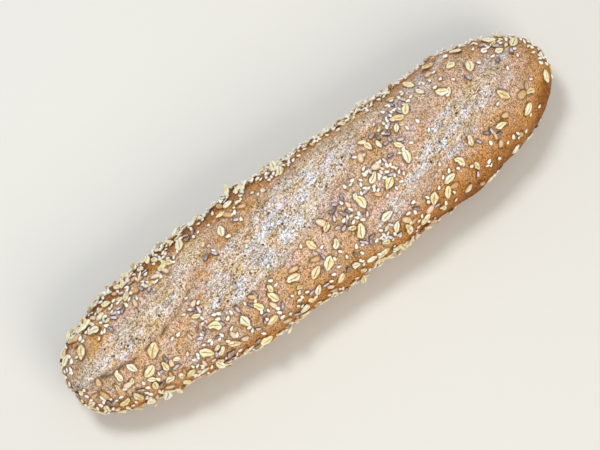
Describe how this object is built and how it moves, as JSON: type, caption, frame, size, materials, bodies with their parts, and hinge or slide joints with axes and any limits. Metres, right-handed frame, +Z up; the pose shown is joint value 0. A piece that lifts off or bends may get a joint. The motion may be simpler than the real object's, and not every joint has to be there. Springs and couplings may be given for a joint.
{
  "type": "multigrain baguette",
  "caption": "Short, plump loaf with rounded ends, long slashes across its crown and a seeded, oat-strewn crust; it rests on a small flat foot.",
  "frame": {"origin": "centre of the loaf's box, at the surface that it rests on", "axes": "+X along the loaf, towards the end that its last slash closes on; +Z up; +Y towards the side that the slashes run out to"},
  "size_m": [0.334, 0.0849, 0.0598],
  "materials": {
    "crust": "matt baked crust, grainy, paler and floury in the slashes and deeper brown on the flanks",
    "oat": "rolled oat flakes, cream to golden, browner at the rim and along the crease",
    "sesame": "white sesame seeds, satin",
    "linseed": "grey-brown linseed, smooth and a little glossy",
    "grain": "tan sunflower kernels and flakes of cracked grain, matt"
  },
  "bodies": {
    "root": {"loaf": "crust"}
  },
  "joints": []
}
